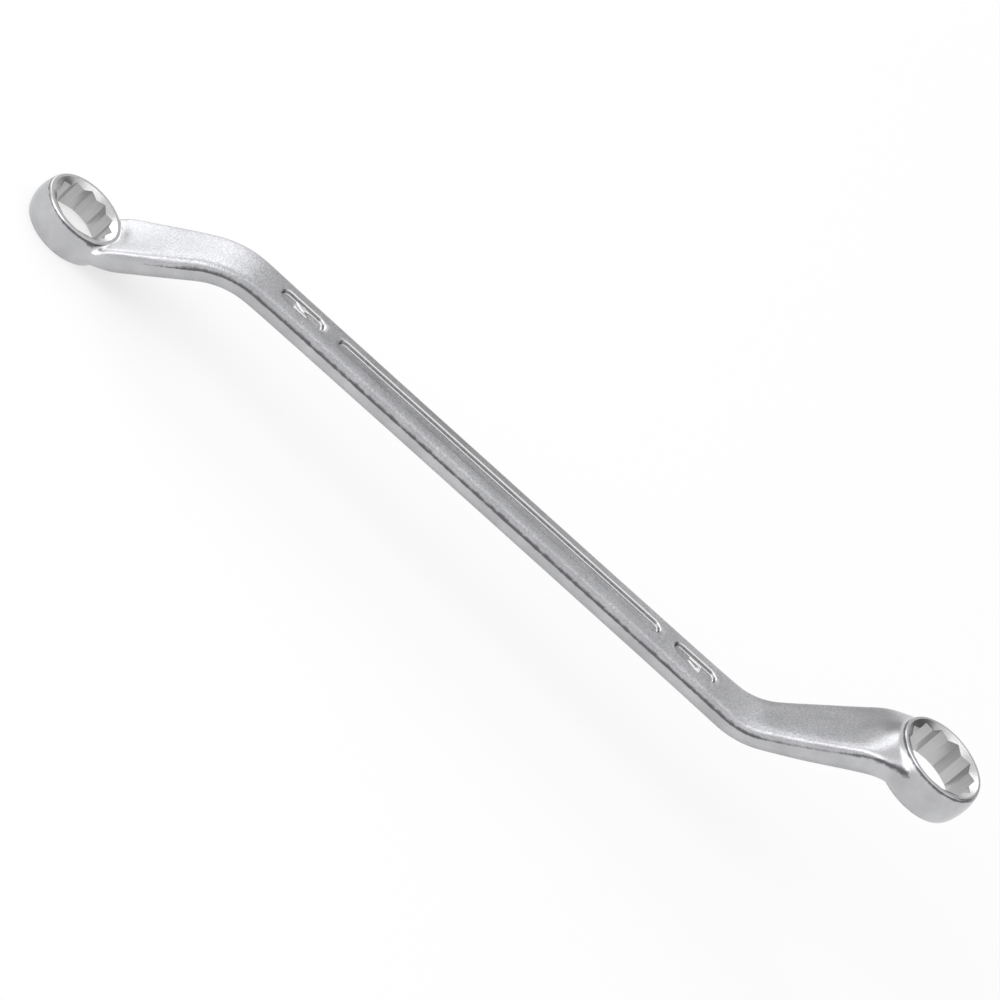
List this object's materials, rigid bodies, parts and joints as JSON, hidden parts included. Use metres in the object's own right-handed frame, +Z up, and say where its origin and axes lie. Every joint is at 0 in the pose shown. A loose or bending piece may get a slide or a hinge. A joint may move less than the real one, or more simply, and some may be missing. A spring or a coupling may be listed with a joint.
{
  "type": "offset ring wrench",
  "caption": "Forged steel offset ring wrench: a multi-point ring at each end of a flat shank, cranked in opposite directions, for turning hexagon bolts and nuts in recessed places",
  "frame": {"origin": "centre of the bounding box in X and Y, at the lower face of the low 14 mm ring in Z", "axes": "+X runs along the wrench from the 14 mm ring to the 17 mm ring, +Y across the shank, +Z up along both ring axes"},
  "size_m": [0.2472, 0.0244, 0.0566],
  "materials": {
    "ring_14": "satin chrome, smooth",
    "neck_14": "satin chrome, blasted top, ground sides",
    "shank": "satin chrome, blasted top, ground sides",
    "neck_17": "satin chrome, blasted top, ground sides",
    "ring_17": "satin chrome, smooth"
  },
  "bodies": {
    "root": {"ring_14": "ring_14", "neck_14": "neck_14", "shank": "shank", "neck_17": "neck_17", "ring_17": "ring_17"}
  },
  "joints": []
}
